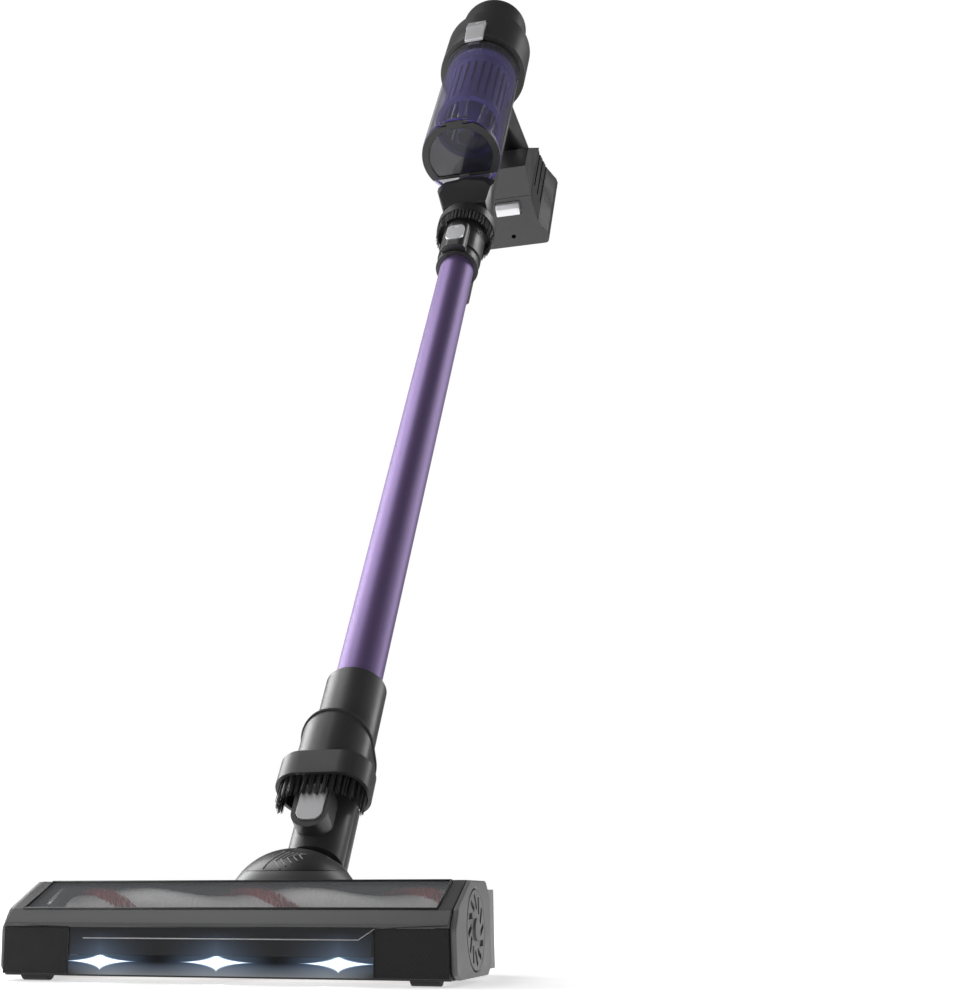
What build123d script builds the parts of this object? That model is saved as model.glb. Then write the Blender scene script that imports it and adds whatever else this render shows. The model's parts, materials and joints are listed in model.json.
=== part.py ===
from build123d import *
import math
import os

# Cordless stick vacuum cleaner, in millimetres.
# World frame: X across the floor head, Y to the rear, Z up. The origin is on the floor, right under
# the tilt axis of the neck. The wand, hand unit and neck are drawn upright in the stick frame, whose
# +Z runs up the wand's axis and whose -Y faces the front, and are then leaned back in one move.

# ---- driving dimensions: stance ----
LEAN = 36.7                 # degrees that the stick leans back from upright
PIVOT_Z = 30.0              # height of the neck's tilt axis
TUBE_BACK = 10.0            # wand axis behind the tilt axis
TUBE_UP = 10.0              # stick frame's origin above the tilt axis, along the stick

# ---- driving dimensions: wand and its ends ----
TUBE_R = 17.0
TUBE_WALL = 1.4
TUBE_Z0, TUBE_Z1 = 124.0, 800.0
COLLAR_R = 22.0
LOWER_COLLAR_Z0, LOWER_COLLAR_Z1 = 106.0, 197.0
UPPER_COLLAR_Z0, UPPER_COLLAR_Z1 = 783.0, 834.0
SPIGOT_R = 16.6
BORE_R = 14.6
BUTTON_WIDTH = 18.0
BUTTON_PLAY = 0.4
WAND_BUTTON_Z = (798.4, 825.6)
HEAD_BUTTON_Z = (54.4, 83.6)

# ---- driving dimensions: brushes on the wand and nozzle ----
LOWER_BRUSH_Z0, LOWER_BRUSH_Z1 = 88.0, 107.0
LOWER_SHROUD_Z1 = 145.0
SHROUD_FRONT_Y = -33.5
SHROUD_SLOPE = 0.45         # fall of the shroud's rim towards the back
CROWN_HALF, CROWN_FRONT_Y, CROWN_REAR_Y = 32.0, -35.0, 9.0
BRISTLE_REAR_Y = -8.0
BRISTLE_DROP = 15.0
UPPER_BRUSH_R = 30.5
UPPER_BRUSH_Z0, UPPER_BRUSH_Z1 = 847.0, 870.0

# ---- driving dimensions: hand unit ----
BIN_Y = -60.0               # the bin's axis stands in front of the wand's axis
BIN_R = 42.0
BIN_WALL = 2.0
BIN_Z0, BIN_Z1 = 918.0, 1116.0
FLAP_Z0 = 913.8
FLAP_CUT_Y = -37.5          # the flap ends here and the hood covers what is below it
FLAP_FLAT_Y = -96.5
FLAP_HINGE_Z = 915.7
HOOD_Z0 = 880.0
LATCH_HALF = 10.2
HOUSING_R = 49.0
HOUSING_Z0, HOUSING_Z1 = 1122.0, 1190.0
CAP_R = 38.5
CAP_Z1 = 1261.0
SPINE_WIDTH, SPINE_DEPTH = 38.0, 31.0
SPINE_Y = -1.2
GRIP_R = 17.0
GRIP_TILT = 35.5            # degrees between the grip and the bin's cross-section
DOCK_Y0, DOCK_Y1 = 58.0, 97.6
PACK_Y0, PACK_Y1 = 98.0, 165.0
PACK_Z0, PACK_Z1 = 1118.0, 1283.0
PLUG_HALF, PLUG_Y, PLUG_Z0, PLUG_Z1 = 14.0, 86.5, 1166.0, 1198.0
GRIP_END = 130.0            # the grip runs on into the dock up to the battery's face
GRIP_HOLLOW_END = 82.0

# ---- driving dimensions: neck ----
NECK_R = 18.0
NECK_BACK = 8.0             # neck axis behind the wand axis
NECK_Z0, NECK_Z1 = 22.0, 60.0
NECK_PLAY = 0.06
SOCKET_R = 18.7
SOCKET_Z0, SOCKET_Z1 = 41.0, 104.0
DOME_R = 44.0
DOME_WALL = 2.6
DOME_HALF = 38.0
DOME_FRONT_ANGLE = 124.0
DOME_REAR_ANGLE = 49.0
PIN_R = 5.0

# ---- driving dimensions: floor head ----
HEAD_HALF = 127.0
END_CAP = 3.4
FRONT_Y = -125.0
SHOULDER_Y, SHOULDER_Z = -118.0, 38.0
CREST_Y, CREST_Z = -84.0, 53.5
CHAMBER_REAR_Y = -50.0
REAR_Y = 25.0
REAR_TOP_Z = 49.0
GLASS_HALF = 120.0
SKIN = 2.0
LIGHT_HALF = 87.0
LIGHT_TOP_Z = 14.0
PANEL_TOP_Z = 28.8
LED_X = (-68.0, 0.0, 68.0)
BRUSH_Y, BRUSH_Z = -76.0, 26.5
BRUSH_R = 24.0
BRUSH_CORE_R = 17.0
BRUSH_X0, BRUSH_X1 = -109.0, 117.0
STUB_R = 4.0
MOTOR_Y, MOTOR_Z = -14.0, 30.0
BELT_X0, BELT_X1 = -121.0, -115.0
MOTOR_PULLEY_R, BRUSH_PULLEY_R = 6.0, 14.0
MOTOR_SHAFT_R = 1.5
AXLE_R = 1.5
ROLLER_R, ROLLER_X, ROLLER_Y = 6.0, 112.0, -112.0
WHEEL_R, WHEEL_X, WHEEL_Y = 8.0, 101.0, 12.0

STICK = Location((0, 0, PIVOT_Z)) * Rotation(-LEAN, 0, 0) * Location((0, TUBE_BACK, TUBE_UP))


# ---- shape helpers ----
def block(x0, x1, y0, y1, z0, z1):
    return Pos((x0 + x1) / 2, (y0 + y1) / 2, (z0 + z1) / 2) * Box(x1 - x0, y1 - y0, z1 - z0)


def rod(radius, z0, z1, x=0.0, y=0.0):
    return Pos(x, y, (z0 + z1) / 2) * Cylinder(radius, z1 - z0)


def tube(outer, inner, z0, z1, x=0.0, y=0.0):
    return rod(outer, z0, z1, x, y) - rod(inner, z0 - 1, z1 + 1, x, y)


def rod_x(radius, x0, x1, y, z):
    return Pos((x0 + x1) / 2, y, z) * Rotation(0, 90, 0) * Cylinder(radius, x1 - x0)


def face_of(points, radius=0.0):
    outline = make_face(Polyline(*points, close=True).edges())
    return fillet(outline.vertices(), radius) if radius else outline


def prism_x(points, x0, x1, radius=0.0):
    """Outline given as (Y, Z) points, carried along X."""
    return extrude(Plane.YZ.offset(x0) * face_of(points, radius), x1 - x0)


def prism_z(points, z0, z1, radius=0.0):
    """Outline given as (X, Y) points, carried along Z."""
    return extrude(Plane.XY.offset(z0) * face_of(points, radius), z1 - z0)


def oval(half_x, y0, y1, corner, z0, z1):
    outline = Pos(0, (y0 + y1) / 2) * RectangleRounded(2 * half_x, y1 - y0, corner)
    return extrude(Plane.XY.offset(z0) * outline, z1 - z0)


def mirrored(shape):
    return mirror(shape, about=Plane.YZ)


def cut_all(shape, cutters):
    for cutter in cutters:
        shape = shape - cutter
    return shape


# ---- wand ----
def make_wand_tube():
    return tube(TUBE_R, TUBE_R - TUBE_WALL, TUBE_Z0, TUBE_Z1)


def make_lower_tube_collar():
    sleeve = tube(COLLAR_R, TUBE_R, TUBE_Z0, LOWER_COLLAR_Z1)
    step = tube(COLLAR_R, BORE_R, LOWER_COLLAR_Z0, TUBE_Z0)
    spigot = tube(SPIGOT_R, BORE_R, 62, LOWER_COLLAR_Z0)
    return sleeve + step + spigot


def make_upper_tube_collar():
    lower = tube(COLLAR_R - 1.5, TUBE_R, UPPER_COLLAR_Z0, UPPER_COLLAR_Z0 + 17)
    upper = tube(COLLAR_R, SPIGOT_R + 0.15, UPPER_COLLAR_Z0 + 17, UPPER_COLLAR_Z1)
    boss_outline = Pos(0, -18) * RectangleRounded(24, 18, 7)
    boss = extrude(Plane.XY.offset(788) * boss_outline, 44) - rod(TUBE_R + 0.2, 700, 900)
    return lower + upper + boss - button_pocket(*WAND_BUTTON_Z, -19.4)


def make_contact_cover():
    """Rear cover over the wand's upper electrical contacts."""
    shell = tube(COLLAR_R + 3.2, COLLAR_R, 764, UPPER_COLLAR_Z1 - 1) & block(-12, 12, 15, 30, 700, 900)
    skirt = tube(COLLAR_R + 3.2, TUBE_R, 752, 764) & block(-12, 12, 12, 30, 700, 900)
    inner = tube(COLLAR_R, TUBE_R, 764, UPPER_COLLAR_Z0 - 0.3) & block(-12, 12, 12, 30, 700, 900)
    lip = tube(COLLAR_R, COLLAR_R - 1.5, UPPER_COLLAR_Z0 - 0.3, 799.8) & block(-12, 12, 12, 30, 700, 900)
    return shell + skirt + inner + lip


def front_pad(half_width, z0, z1, corner, y0, y1):
    """Rounded outline seen from the front, carried back from y0 to y1."""
    outline = Pos(0, (z0 + z1) / 2) * RectangleRounded(2 * half_width, z1 - z0, corner)
    return extrude(Plane.XZ.offset(-y0) * outline, y0 - y1)


def make_tube_button(z0, z1, face_y, depth):
    """Rounded push button with a small key slot near its top."""
    body = front_pad(BUTTON_WIDTH / 2, z0, z1, 6.5, face_y, face_y + depth)
    slot = block(-2.5, 2.5, face_y - 1, face_y + 1.2, z1 - 6.5, z1 - 3.5)
    return body - slot


def button_pocket(z0, z1, y1):
    play = BUTTON_PLAY
    return front_pad(BUTTON_WIDTH / 2 + play, z0 - play, z1 + play, 6.5 + play, -34, y1)


# ---- brushes that slide on the wand end and on the nozzle ----
def make_lower_brush_shroud():
    """Sliding shroud: a sleeve with a sloping rim over a half-round crown that is open at the back."""
    band = oval(CROWN_HALF, CROWN_FRONT_Y, CROWN_REAR_Y, 19, LOWER_BRUSH_Z0, LOWER_BRUSH_Z1)
    wall = 2.5
    cavity = oval(CROWN_HALF - wall, CROWN_FRONT_Y + wall, CROWN_REAR_Y - 2, 17, LOWER_BRUSH_Z0 - 1, LOWER_BRUSH_Z1 - 4)
    gap = block(-22.4, 22.4, 0, 40, LOWER_BRUSH_Z0 - 1, LOWER_BRUSH_Z1)
    sleeve = oval(25, SHROUD_FRONT_Y, 25, 24, LOWER_BRUSH_Z1, LOWER_SHROUD_Z1)
    rim_back_z = LOWER_SHROUD_Z1 - SHROUD_SLOPE * (60 - SHROUD_FRONT_Y)
    rim_front_z = LOWER_SHROUD_Z1 + SHROUD_SLOPE * (60 + SHROUD_FRONT_Y)
    below_rim = prism_x([(-60, 90), (60, 90), (60, rim_back_z), (-60, rim_front_z)], -60, 60)
    throat = oval(22.4, -30.5, 22.4, 21.5, LOWER_BRUSH_Z1 - 5, LOWER_SHROUD_Z1 + 1)
    return (band - cavity - gap) + (sleeve & below_rim) - throat


def make_lower_brush_bristles():
    """Half ring of bristle tufts set in the shroud's crown, drawn as one soft ring."""
    z0 = LOWER_BRUSH_Z0 - BRISTLE_DROP
    ring = oval(CROWN_HALF - 2.6, CROWN_FRONT_Y + 2.6, CROWN_REAR_Y - 2.1, 17, z0, LOWER_BRUSH_Z1 - 4.2)
    hollow = oval(CROWN_HALF - 6.0, CROWN_FRONT_Y + 5.4, CROWN_REAR_Y, 15, z0 - 1, LOWER_BRUSH_Z1)
    return ring - hollow - block(-60, 60, BRISTLE_REAR_Y, 60, 60, 120)


def make_upper_brush_ring():
    band = tube(UPPER_BRUSH_R, UPPER_BRUSH_R - 2.4, UPPER_BRUSH_Z0, UPPER_BRUSH_Z1)
    top = tube(UPPER_BRUSH_R - 0.8, COLLAR_R + 0.35, UPPER_BRUSH_Z1 - 3, UPPER_BRUSH_Z1 + 1)
    return band + top


def make_upper_brush_bristles():
    return tube(UPPER_BRUSH_R - 2.5, UPPER_BRUSH_R - 5.5, UPPER_BRUSH_Z0 - 8, UPPER_BRUSH_Z1 - 3.2)


# ---- hand unit: air path and frame ----
def make_inlet_nozzle():
    spigot = tube(SPIGOT_R, BORE_R, 801, UPPER_COLLAR_Z1 + 2)
    duct = tube(COLLAR_R, BORE_R, UPPER_COLLAR_Z1 + 1.5, 905)
    return spigot + duct


def make_inlet_hood():
    """Flared shield that widens from the nozzle to the foot of the bin."""
    outline = [(-22, 12), (-31, -29), (-22, -34.6), (0, -36.6), (22, -34.6), (31, -29), (22, 12)]
    plate = prism_z(outline, HOOD_Z0, 913)
    foot = COLLAR_R + 1
    front_view = [(-31.2, 906), (-31.2, 914), (31.2, 914), (31.2, 906), (foot, HOOD_Z0), (-foot, HOOD_Z0)]
    side_view = [(-37, 908), (-37, 914), (13, 914), (13, HOOD_Z0), (-foot, HOOD_Z0)]
    across = Pos(0, 30, 0) * Rotation(0, 0, -90) * prism_x(front_view, -80, 80)
    hood = plate & across & prism_x(side_view, -60, 60)
    return hood - rod(COLLAR_R + 0.05, 870, 905) - rod(BORE_R, 890, 920)


def make_main_frame():
    """Spine under the bin that joins the hood, the motor housing and the grip."""
    outline = Pos(0, SPINE_Y) * RectangleRounded(SPINE_WIDTH, SPINE_DEPTH, 9)
    hollow = Pos(0, SPINE_Y) * RectangleRounded(SPINE_WIDTH - 5, SPINE_DEPTH - 5, 7)
    spine = extrude(Plane.XY.offset(913) * outline, 260)
    spine = spine - extrude(Plane.XY.offset(912) * hollow, 252)
    return cut_all(spine, [rod(HOUSING_R + 0.05, HOUSING_Z0 - 0.4, HOUSING_Z1 + 1, y=BIN_Y)])


# ---- hand unit: bin ----
def make_dust_bin():
    wall = tube(BIN_R, BIN_R - BIN_WALL, BIN_Z0, BIN_Z1, y=BIN_Y)
    disc = rod(BIN_R - 0.5, FLAP_Z0, BIN_Z0, y=BIN_Y)
    foot = disc & block(-50, 50, FLAP_CUT_Y + 0.3, 0, FLAP_Z0, BIN_Z0)
    port = block(-13, 13, -33, -23, FLAP_Z0 - 1, BIN_Z0 + 1)
    latch_seat = block(-7, 7, -105.9, -101.3, 1103, BIN_Z1 - 1)
    lugs = [block(x - 3, x + 3, -103, FLAP_FLAT_Y - 0.95, FLAP_Z0, BIN_Z0 + 4) for x in (-12, 12)]
    body = wall + (foot - port) + lugs[0] + lugs[1] + latch_seat
    return body - rod_x(1.56, -20, 20, FLAP_FLAT_Y - 2.6, FLAP_HINGE_Z)


def flap_disc(radius, z0, z1):
    kept = block(-50, 50, FLAP_FLAT_Y, FLAP_CUT_Y, z0, z1)
    return rod(radius, z0, z1, y=BIN_Y) & kept


def make_bin_flap_ring():
    ring = flap_disc(BIN_R - 0.5, FLAP_Z0, BIN_Z0 - 0.2)
    window = rod(34, FLAP_Z0 - 1, BIN_Z0, y=BIN_Y) & block(-50, 50, FLAP_FLAT_Y + 4, FLAP_CUT_Y - 3, 900, 930)
    knuckle = rod_x(1.95, -8.7, 8.7, FLAP_FLAT_Y - 2.6, FLAP_HINGE_Z)
    link = block(-8.7, 8.7, FLAP_FLAT_Y - 2.6, FLAP_FLAT_Y + 0.5, FLAP_Z0, FLAP_HINGE_Z + 0.2)
    notch = block(-5.2, 5.2, FLAP_CUT_Y - 3.5, FLAP_CUT_Y + 1, FLAP_Z0 - 1, BIN_Z0)
    pin = rod_x(1.5, -14.6, 14.6, FLAP_FLAT_Y - 2.6, FLAP_HINGE_Z)
    return ring + knuckle + link - window - notch + pin


def make_bin_flap_window():
    window = rod(34, FLAP_Z0 + 0.6, BIN_Z0 - 0.8, y=BIN_Y)
    return window & block(-50, 50, FLAP_FLAT_Y + 4, FLAP_CUT_Y - 3.5, 900, 930)


def make_flap_catch():
    return block(-5, 5, FLAP_CUT_Y - 3.2, FLAP_CUT_Y - 0.1, FLAP_Z0 - 1.2, BIN_Z0 - 0.4)


def make_cyclone_shroud():
    """Ribbed inner body that parts the dust from the air."""
    wall = tube(34, 31.5, 990, BIN_Z1 - 0.5, y=BIN_Y)
    flare = tube(BIN_R - BIN_WALL - 0.1, 31.5, 1101, 1106, y=BIN_Y)
    skirt = tube(36.5, 31.5, 986, 992, y=BIN_Y)
    slots = [
        Pos(0, BIN_Y, 1045) * Rotation(0, 0, 7.5 + 15 * turn) * Pos(34, 0, 0) * Box(8, 3.2, 84)
        for turn in range(24)
    ]
    return cut_all(wall + flare + skirt, slots)


def make_cyclone_cone():
    """Inner cone of the second cyclone stage, with its dust outlet at the tip."""
    outer = Pos(0, BIN_Y, 1035) * Cone(10, 24, 150)
    inner = Pos(0, BIN_Y, 1035) * Cone(8, 22, 151)
    rim = tube(30.4, 23, 1106, 1110, y=BIN_Y)
    return outer - inner + rim


def make_bin_seal():
    return tube(BIN_R + 0.9, BIN_R - BIN_WALL, BIN_Z1, BIN_Z1 + 3.6, y=BIN_Y)


# ---- hand unit: motor ----
def make_motor_housing():
    skin = tube(HOUSING_R, HOUSING_R - 2.5, HOUSING_Z0, HOUSING_Z1, y=BIN_Y)
    front = tube(HOUSING_R - 2.4, 32, HOUSING_Z0, HOUSING_Z0 + 3, y=BIN_Y)
    shoulder = Pos(0, BIN_Y, HOUSING_Z1 + 3) * Cone(HOUSING_R, CAP_R + 2, 6)
    shoulder = shoulder - rod(CAP_R - 4, HOUSING_Z1 - 1, HOUSING_Z1 + 8, y=BIN_Y)
    pocket = block(-LATCH_HALF - 0.4, LATCH_HALF + 0.4, -120, -104, HOUSING_Z0 - 1, 1157)
    return skin + front + shoulder - pocket


def make_bin_release_button():
    """Stepped metal latch that sits on the bin's rim and reaches up over the housing."""
    side = [(-105, 1111), (-109.5, 1111), (-112.5, 1124), (-112.5, 1131), (-115, 1136), (-112.5, 1153), (-105, 1153)]
    body = prism_x(side, -LATCH_HALF, LATCH_HALF)
    hole = block(-2, 2, -120, -112.4, 1145, 1148.5)
    under = block(-13, 13, -106.2, -100, 1100, 1121.5)
    return body - hole - under


def make_suction_motor():
    can = rod(29, 1130, 1178, y=BIN_Y)
    shaft = rod(2.5, 1178, 1184, y=BIN_Y)
    eye = rod(20, 1126, 1131, y=BIN_Y) - rod(14, 1120, 1128.5, y=BIN_Y)
    return can + shaft + eye


def make_impeller():
    hub = tube(8, 2.56, 1179, 1186, y=BIN_Y)
    plate = tube(27, 7.5, 1179, 1180.4, y=BIN_Y)
    blades = [
        Pos(0, BIN_Y, 1183) * Rotation(0, 0, 360 / 9 * turn) * Pos(17, 0, 0) * Rotation(0, 0, 25) * Box(18, 1.2, 6)
        for turn in range(9)
    ]
    body = hub + plate
    for blade in blades:
        body = body + blade
    return body


def make_filter_cap():
    outer = rod(CAP_R, HOUSING_Z1 + 6.4, CAP_Z1, y=BIN_Y)
    outer = fillet(outer.edges().sort_by(Axis.Z)[-1], 7)
    inner = rod(CAP_R - 2.4, HOUSING_Z1, CAP_Z1 - 3, y=BIN_Y)
    rim = tube(CAP_R - 2.3, CAP_R - 6.7, HOUSING_Z1 + 6.4, HOUSING_Z1 + 9.4, y=BIN_Y)
    plug = tube(CAP_R - 4.3, CAP_R - 6.7, HOUSING_Z1 + 1, HOUSING_Z1 + 7, y=BIN_Y)
    return outer - inner + rim + plug


def make_exhaust_filter():
    return tube(CAP_R - 3.2, 18, HOUSING_Z1 + 10, CAP_Z1 - 6, y=BIN_Y)


# ---- hand unit: grip and battery ----
def grip_line(along):
    """Point (Y, Z) on the grip's axis, a distance down from the housing."""
    angle = math.radians(GRIP_TILT)
    return -6 + along * math.cos(angle), 1168 + along * math.sin(angle)


def grip_rod(radius_x, radius_y, start, end, shift=0.0):
    y, z = grip_line((start + end) / 2)
    outline = Ellipse(radius_x, radius_y)
    body = extrude(outline, (end - start) / 2, both=True)
    return Pos(0, y, z) * Rotation(GRIP_TILT - 90, 0, 0) * Pos(0, shift, 0) * body


def make_handle_shell():
    """Grip that runs from the housing into the dock; its foot is solid and eased flat on top."""
    outer = grip_rod(GRIP_R, GRIP_R + 3, 10, GRIP_END)
    inner = grip_rod(GRIP_R - 2.5, GRIP_R + 0.5, 14, GRIP_HOLLOW_END)
    spine = Pos(0, SPINE_Y) * RectangleRounded(SPINE_WIDTH + 0.02, SPINE_DEPTH + 0.02, 9)
    spine = extrude(Plane.XY.offset(912) * spine, 262)
    trigger_slot = grip_rod(6.5, 9, 22, 50, 17)
    body = outer - inner - spine - trigger_slot - rod(HOUSING_R + 0.3, 1100, 1200, y=BIN_Y)
    return body - block(-60, 60, DOCK_Y1, 200, 1000, 1400) - rear_cut(60, 1237, 98, 1248)


def make_trigger():
    y, z = grip_line(36)
    outline = Pos(0, 0) * RectangleRounded(11, 25, 4)
    pad = extrude(outline, 9)
    return Pos(0, y, z) * Rotation(GRIP_TILT - 90, 0, 0) * Pos(0, 13.5, 0) * Rotation(-90, 0, 0) * pad


def hourglass(y0, y1, z0, z1):
    """Block whose sides pinch in towards the middle and flare out at the foot."""
    right = [(36, 50), (29.5, 104), (33, 134), (42.5, 152), (42.5, PACK_Y1)]
    left = [(-x, y) for x, y in reversed(right)]
    solid = prism_z(right + left, z0, z1, 5)
    return solid & block(-60, 60, y0, y1, z0, z1)


def rear_cut(y0, z0, y1, z1):
    """Wedge behind a slanted rear face that passes through two (Y, Z) points."""
    run = (z1 - z0) / (y1 - y0)
    top, foot = 0.0, 260.0
    points = [(top, z0 + run * (top - y0)), (foot, z0 + run * (foot - y0)), (foot, 1700), (top, 1700)]
    return prism_x(points, -80, 80)


def edge_round(y0, z0, y1, z1, cut):
    """Pair of wedges that ease the long side edges of a slanted rear face."""
    angle = math.degrees(math.atan2(z1 - z0, y1 - y0))
    wedge = Rotation(0, 45, 0) * Box(cut * 3, 400, cut * 1.41)
    return [Pos(s * 38, y0, z0) * Rotation(angle, 0, 0) * Rotation(0, 0, 90 - 90 * s) * wedge for s in (1, -1)]


def make_battery_dock():
    """Foot of the grip, with a socket for the battery's plug; its top slopes down to the front."""
    outline = [(30, DOCK_Y0), (30, DOCK_Y1), (-30, DOCK_Y1), (-30, DOCK_Y0)]
    solid = prism_z(outline, PACK_Z0, 1290) - rear_cut(DOCK_Y0, 1165, 98, 1246)
    solid = cut_all(solid, edge_round(DOCK_Y0, 1165, 98, 1246, 8))
    grip = grip_rod(GRIP_R + 0.02, GRIP_R + 3.02, 10, GRIP_END)
    socket = block(-PLUG_HALF - 0.3, PLUG_HALF + 0.3, PLUG_Y - 0.5, DOCK_Y1 + 1, PLUG_Z0 - 0.3, PLUG_Z1 + 0.3)
    return solid - grip - socket


def make_battery_pack():
    solid = hourglass(PACK_Y0, PACK_Y1, PACK_Z0, PACK_Z1) - rear_cut(98, 1240, 160, PACK_Z1)
    solid = cut_all(solid, edge_round(98, 1240, 160, PACK_Z1, 9))
    grooves = [
        block(min(s * x, s * 60), max(s * x, s * 60), y, y + 3.4, PACK_Z0 + 42, 1300)
        for x, y in ((28.2, 105), (29.6, 117), (31.4, 129))
        for s in (1, -1)
    ]
    pocket = block(-15, 15, 103, 121, PACK_Z0 - 1, PACK_Z0 + 12)
    jack = rod(2.75, PACK_Z0 - 1, PACK_Z0 + 9, y=151)
    plug = block(-PLUG_HALF, PLUG_HALF, PLUG_Y, PACK_Y0 + 1, PLUG_Z0, PLUG_Z1)
    return cut_all(solid, grooves) - pocket - jack + plug


def make_battery_release_button():
    side = [(104, PACK_Z0 + 7), (104, PACK_Z0 - 4), (109, PACK_Z0 - 8), (118, PACK_Z0 - 8), (120, PACK_Z0 + 7)]
    return prism_x(side, -14.4, 14.4)


# ---- neck ----
def make_neck_socket():
    """Socket that takes the wand's lower spigot, with the boss for the head's release button."""
    shell = rod(SOCKET_R, SOCKET_Z0, SOCKET_Z1)
    back = rod(NECK_R + 0.6, SOCKET_Z0, 92, y=NECK_BACK)
    boss = front_pad(12.5, 49, 88, 12, -28, -4)
    bore = rod(SPIGOT_R + 0.15, 60.05, SOCKET_Z1 + 1)
    passage = rod(BORE_R, 50, 70)
    seat = rod(NECK_R, SOCKET_Z0 - 1, NECK_Z1 + 0.05, y=NECK_BACK)
    return shell + back + boss - seat - bore - passage - button_pocket(*HEAD_BUTTON_Z, -19.2)


def make_neck_tube():
    return tube(NECK_R, NECK_R - 3, NECK_Z0, NECK_Z1, y=NECK_BACK)


# ---- pivot between neck and head, drawn in the stick frame ----
def sector():
    """Wedge about the tilt axis that the dome body keeps to."""
    front, rear = math.radians(DOME_FRONT_ANGLE), math.radians(DOME_REAR_ANGLE)
    reach = 150.0
    points = [
        (0, 0),
        (reach * math.sin(rear), reach * math.cos(rear)),
        (0, reach * 1.4),
        (-reach * math.sin(front), reach * math.cos(front)),
    ]
    return Pos(0, -TUBE_BACK, -TUBE_UP) * prism_x(points, -60, 60)


def pivot_at(shape):
    return Pos(0, -TUBE_BACK, -TUBE_UP) * shape


def make_pivot_dome():
    slab = pivot_at(Box(2 * DOME_HALF, 200, 200))
    ball = pivot_at(Sphere(DOME_R)) & slab
    hollow = pivot_at(Sphere(DOME_R - DOME_WALL)) & pivot_at(Box(2 * DOME_HALF - 8, 200, 200))
    body = (ball - hollow) & sector()
    for s in (1, -1):
        body = body + pivot_at(rod_x(9, s * 36 - 2, s * 36 + 2, 0, 0))
    body = body - rod(NECK_R + 4.5, -40, 80, y=NECK_BACK)
    return body - pivot_at(rod_x(PIN_R + 0.06, -60, 60, 0, 0))


def make_pivot_collar():
    """Round socket behind the dome in which the neck turns."""
    outer = rod(NECK_R + 4.5, 0, 38, y=NECK_BACK) & sector()
    upper = rod(NECK_R + NECK_PLAY, NECK_Z0 - 0.4, 60, y=NECK_BACK)
    lower = rod(NECK_R - 3, -30, 60, y=NECK_BACK)
    return outer - upper - lower - pivot_at(Sphere(24))


# ---- floor head ----
def make_head_base():
    plate = block(-HEAD_HALF, HEAD_HALF, FRONT_Y + 3.2, CHAMBER_REAR_Y, 3, 5.5)
    mouth = block(BRUSH_X0 - 2, GLASS_HALF - 1, -117, CHAMBER_REAR_Y - 2, 0, 8)
    side = [(FRONT_Y + 3.2, 3), (FRONT_Y + 3.2, 28), (SHOULDER_Y + 2, 34.5), (CREST_Y, 51.4),
            (CHAMBER_REAR_Y, 51.4), (CHAMBER_REAR_Y, 3)]
    right = prism_x(side, GLASS_HALF - 1, HEAD_HALF)
    left = prism_x(side, -HEAD_HALF, -HEAD_HALF + 3)
    bulkhead = prism_x(side, BRUSH_X0 - 4, BRUSH_X0 - 1.6)
    bulkhead = bulkhead & block(-200, 200, -104, CHAMBER_REAR_Y, 0, 60)
    body = plate - mouth + right + left + bulkhead
    seats = [rod_x(STUB_R + 0.06, s * 123.5 - 5, s * 123.5 + 5, BRUSH_Y, BRUSH_Z) for s in (1, -1)]
    seats.append(rod_x(16.2, BRUSH_X0 - 5, BRUSH_X0 - 1, BRUSH_Y, BRUSH_Z))
    for s in (1, -1):
        seats.append(block(s * ROLLER_X - 8.6, s * ROLLER_X + 8.6, ROLLER_Y - 7.5, ROLLER_Y + 7.5, -1, 14))
        body = body + block(s * ROLLER_X - 10.6, s * ROLLER_X + 10.6, ROLLER_Y - 8, ROLLER_Y + 3.6, 3, 14)
    return cut_all(body, seats + roller_axles())


def slope_outline():
    """Slanted band between the front shoulder and the crest of the head, as (Y, Z) points."""
    return [(SHOULDER_Y, SHOULDER_Z), (CREST_Y, CREST_Z), (CREST_Y, CREST_Z - SKIN), (SHOULDER_Y + 0.8, SHOULDER_Z - 1.8)]


def make_head_top_cover():
    outline = [(CREST_Y, CREST_Z), (CHAMBER_REAR_Y + 4, CREST_Z), (CHAMBER_REAR_Y + 4, CREST_Z - 4),
               (CHAMBER_REAR_Y + 1.9, CREST_Z - 6), (CHAMBER_REAR_Y + 1.9, 3), (CHAMBER_REAR_Y + 0.05, 3),
               (CHAMBER_REAR_Y + 0.05, CREST_Z - SKIN), (CREST_Y, CREST_Z - SKIN)]
    roof = prism_x(outline, -HEAD_HALF, HEAD_HALF)
    rails = prism_x(slope_outline(), GLASS_HALF + 0.1, HEAD_HALF)
    port = block(-24, 24, CHAMBER_REAR_Y - 2, CHAMBER_REAR_Y + 3, 8, 34)
    belt_way = block(BELT_X0 - 2.5, BELT_X1 + 2.5, CHAMBER_REAR_Y - 2, CHAMBER_REAR_Y + 3, 10, 46)
    return roof + rails + mirrored(rails) - port - belt_way


def make_brush_window():
    return prism_x(slope_outline(), -GLASS_HALF, GLASS_HALF)


def make_front_bumper():
    band = [(FRONT_Y, PANEL_TOP_Z + 0.2), (FRONT_Y, 31), (SHOULDER_Y, SHOULDER_Z), (SHOULDER_Y + 0.8, SHOULDER_Z - 1.8),
            (FRONT_Y + 3, 29.5), (FRONT_Y + 3, PANEL_TOP_Z + 0.2)]
    whole = prism_x(band, -HEAD_HALF, HEAD_HALF)
    middle = block(-LIGHT_HALF, LIGHT_HALF, FRONT_Y, FRONT_Y + 3, LIGHT_TOP_Z + 0.2, PANEL_TOP_Z + 0.3)
    return whole + middle


def make_corner_panel(side):
    panel = block(LIGHT_HALF + 0.3, HEAD_HALF, FRONT_Y, FRONT_Y + 3, 4, PANEL_TOP_Z)
    return panel if side > 0 else mirrored(panel)


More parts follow.
